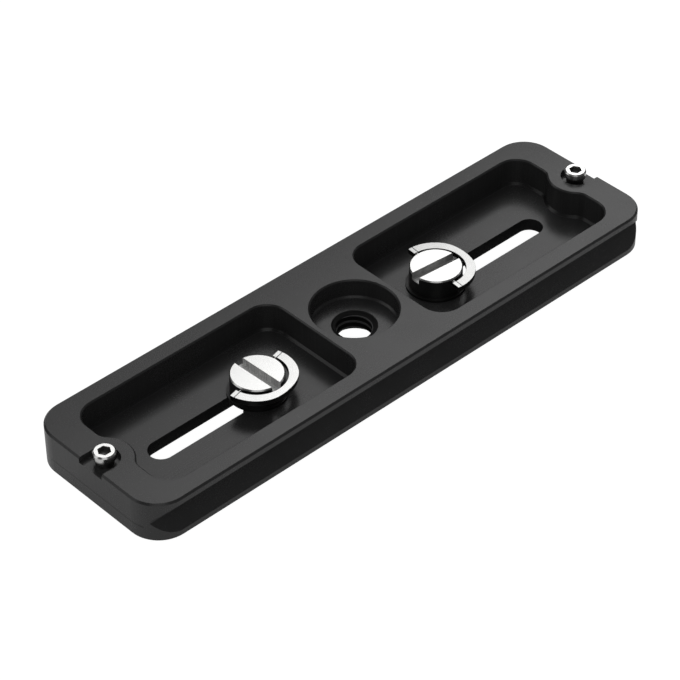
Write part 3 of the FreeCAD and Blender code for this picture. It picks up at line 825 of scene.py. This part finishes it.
def pale_sweep(settings):
    """A pale floor that curves up into a round wall, seen by the camera alone."""
    height = THREAD_TIP - settings.floor_drop
    bm = bmesh.new()
    points = [(0.0, height), (FLOOR_RADIUS, height)]
    for step in range(1, 7):
        angle = math.radians(15 * step)
        points.append((FLOOR_RADIUS + SWEEP_BEND * math.sin(angle),
                       height + SWEEP_BEND * (1 - math.cos(angle))))
    points.append((FLOOR_RADIUS + SWEEP_BEND, SWEEP_TOP))
    verts = [bm.verts.new((x, 0, z)) for x, z in points]
    edges = [bm.edges.new(pair) for pair in zip(verts, verts[1:])]
    bmesh.ops.spin(bm, geom=verts + edges, cent=(0, 0, 0), axis=(0, 0, 1), angle=2 * math.pi,
                   steps=64, use_merge=True, use_duplicate=False)
    bmesh.ops.remove_doubles(bm, verts=bm.verts, dist=WELD)
    bmesh.ops.recalc_face_normals(bm, faces=bm.faces)
    mesh = mesh_of(bm, "pale_sweep")
    mesh.shade_smooth()
    finish = Finish("pale_floor", {"Roughness": 0.9, "Emission Strength": settings.floor_glow,
                                   "Specular IOR Level": 0.0})
    paper = finish.noise(finish.place(), 40.0)
    tone = finish.mix(paper, (0.22, 0.22, 0.22, 1), (0.24, 0.24, 0.24, 1))
    glow = finish.mix(paper, (0.995, 0.995, 0.995, 1), (1, 1, 1, 1))
    mesh.materials.append(finish.feed(Base_Color=tone, Emission_Color=glow))
    sweep = bpy.data.objects.new("pale_sweep", mesh)
    bpy.context.scene.collection.objects.link(sweep)
    sweep.visible_diffuse = False
    sweep.visible_glossy = False
    sweep.visible_shadow = False


def bounce_floor(settings):
    """The same floor as the plate's own faces see it, lit and shaded by the lights, with an even
    glow, and with painted shade under the plate: darker there and without glow.
    """
    bm = bmesh.new()
    height = THREAD_TIP - settings.floor_drop
    bmesh.ops.create_circle(bm, cap_ends=True, segments=48, radius=FLOOR_RADIUS,
                            matrix=Matrix.Translation((0, 0, height)))
    mesh = mesh_of(bm, "bounce_floor")
    finish = Finish("bounce_paper", {"Roughness": 0.9, "Specular IOR Level": 0.0,
                                     "Emission Strength": settings.bounce_glow})
    place = finish.place()
    x, y, _ = finish.parts(place)
    reach = cad_box[1]
    under_length = ((x * x) ** 0.5).below(reach.x - 2 * MM, 12 * MM)
    under_width = ((y * y) ** 0.5).below(reach.y - 2 * MM, 8 * MM)
    # Painted shade: under the plate the floor is darkened and its glow taken away
    shade = under_length * under_width
    paper = finish.mix(finish.noise(place, 40.0), (0.84, 0.84, 0.84, 1), (0.88, 0.88, 0.88, 1))
    tone = finish.mix(shade, paper, (0.10, 0.10, 0.10, 1))
    glow = finish.mix(shade, (1, 1, 1, 1), (0, 0, 0, 1))
    mesh.materials.append(finish.feed(Base_Color=tone, Emission_Color=glow))
    floor = bpy.data.objects.new("bounce_floor", mesh)
    bpy.context.scene.collection.objects.link(floor)
    floor.visible_camera = False


def camera_axes(settings):
    """The level line to the camera's right, and the line from the plate to the camera."""
    azimuth, elevation = settings.azimuth, settings.elevation
    right = Vector((math.cos(azimuth), math.sin(azimuth), 0))
    back = Vector((math.sin(azimuth) * math.cos(elevation),
                   -math.cos(azimuth) * math.cos(elevation), math.sin(elevation)))
    return right, back


def placed(item, axes, place):
    """Put a lamp or camera in the scene with its own X, Y and Z along three axes."""
    item.matrix_world = Matrix.Translation(place) @ Matrix(axes).transposed().to_4x4()
    bpy.context.scene.collection.objects.link(item)
    return item


def panel(name, axes, place, width, height, radiance):
    """A soft rectangular light that shines against its Z axis."""
    light = bpy.data.lights.new(name, "AREA")
    light.shape = "RECTANGLE"
    light.size = width
    light.size_y = height
    light.energy = radiance * math.pi * width * height
    lamp = placed(bpy.data.objects.new(name, light), axes, place)
    lamp.visible_camera = False


def mirrored_panel(name, settings, distance, turn, edge, radiance):
    """A panel that the level faces mirror to the camera, with one edge across the mirrored line."""
    right, back = camera_axes(settings)
    mirrored = Vector((-back.x, -back.y, back.z))
    inward = right * math.cos(turn) + right.cross(mirrored) * math.sin(turn)
    place = mirrored * distance + inward * (edge + settings.panel_depth / 2)
    axes = (inward, mirrored.cross(inward), mirrored)
    panel(name, axes, place, settings.panel_depth, settings.panel_width, radiance)


def fill_panel(settings):
    """A broad panel high over the camera's left."""
    away = FILL_PLACE.normalized()
    level = Vector((0, 0, 1)).cross(away).normalized()
    panel("fill_panel", (level, away.cross(level), away), FILL_PLACE, *FILL_SIZE,
          settings.fill_radiance)


def side_panels(settings):
    """Dim panels all round and above, which the steel shows to a camera that stands elsewhere."""
    right, back = camera_axes(settings)
    ahead = Vector((-back.x, -back.y, 0)).normalized()
    for name, turn, elevation, height, share in SIDE_PANELS:
        turn, elevation = math.radians(turn), math.radians(elevation)
        level = ahead * math.cos(turn) + right * math.sin(turn)
        away = level * math.cos(elevation) + Vector((0, 0, math.sin(elevation)))
        across = Vector((0, 0, 1)).cross(level)
        panel(name, (across, away.cross(across), away), away, SIDE_PANEL_WIDTH, height,
              settings.side_radiance * share)


def room(settings):
    """A plain dim room."""
    world = bpy.data.worlds.new("plain_room")
    world.use_nodes = True
    bpy.context.scene.world = world
    background = world.node_tree.nodes["Background"]
    background.inputs["Color"].default_value = (settings.room_radiance,) * 3 + (1.0,)


def aim_camera(settings):
    """The camera stands where the photograph was taken from."""
    right, back = camera_axes(settings)
    roll = settings.roll
    up = back.cross(right)
    aim = Vector((0, 0, AIM_HEIGHT)) + right * AIM_RIGHT + up * AIM_UP
    turned_right = right * math.cos(roll) + up * math.sin(roll)
    turned_up = up * math.cos(roll) - right * math.sin(roll)
    data = bpy.data.cameras.new("camera")
    data.lens = settings.lens
    data.sensor_width = 36.0
    data.clip_start = 0.01
    data.clip_end = 20.0
    camera = placed(bpy.data.objects.new("camera", data), (turned_right, turned_up, back),
                    aim + back * settings.distance)
    bpy.context.scene.camera = camera


class SetUpStudio(bpy.types.Operator):
    """Lay the floor, hang the lights and aim the camera"""

    bl_idname = "quick_plate.set_up_studio"
    bl_label = "Studio"

    def execute(self, context):
        settings = context.scene.plate_studio
        context.scene.view_settings.view_transform = "Standard"
        pale_sweep(settings)
        room(settings)
        bounce_floor(settings)
        for name, turn, edge, nearer in MIRRORED_PANELS:
            mirrored_panel(f"{name}_panel", settings, settings.panel_distance - nearer,
                           math.radians(turn), edge, getattr(settings, f"{name}_radiance"))
        fill_panel(settings)
        side_panels(settings)
        aim_camera(settings)
        return {"FINISHED"}


# Sidebar

PIECES = (MillPlate, TurnCameraScrews, BendRings, DressWashers, DressStopScrews, DressGripStrips)
SETTINGS = {"plate_threads": ThreadSizes, "plate_rings": RingSizes,
            "plate_finishes": FinishColours, "plate_studio": StudioSettings}


class PlatePanel(bpy.types.Panel):
    """The pieces, their sizes and colours, and the stage"""

    bl_idname = "VIEW3D_PT_quick_plate"
    bl_label = "Quick release plate"
    bl_space_type = "VIEW_3D"
    bl_region_type = "UI"
    bl_category = "Plate"

    def draw(self, context):
        column = self.layout.column()
        for piece in (*PIECES, SetUpStudio):
            column.operator(piece.bl_idname)
        for name, group in SETTINGS.items():
            box = self.layout.box()
            for setting in group.__annotations__:
                box.prop(getattr(context.scene, name), setting)


CLASSES = (*SETTINGS.values(), *PIECES, SetUpStudio, PlatePanel)


def register():
    for each in CLASSES:
        bpy.utils.register_class(each)
    for name, group in SETTINGS.items():
        setattr(bpy.types.Scene, name, bpy.props.PointerProperty(type=group))


def unregister():
    for name in SETTINGS:
        delattr(bpy.types.Scene, name)
    for each in reversed(CLASSES):
        bpy.utils.unregister_class(each)


def main():
    register()
    for piece in (*PIECES, SetUpStudio):
        group, name = piece.bl_idname.split(".")
        getattr(getattr(bpy.ops, group), name)()


if __name__ == "__main__":
    main()
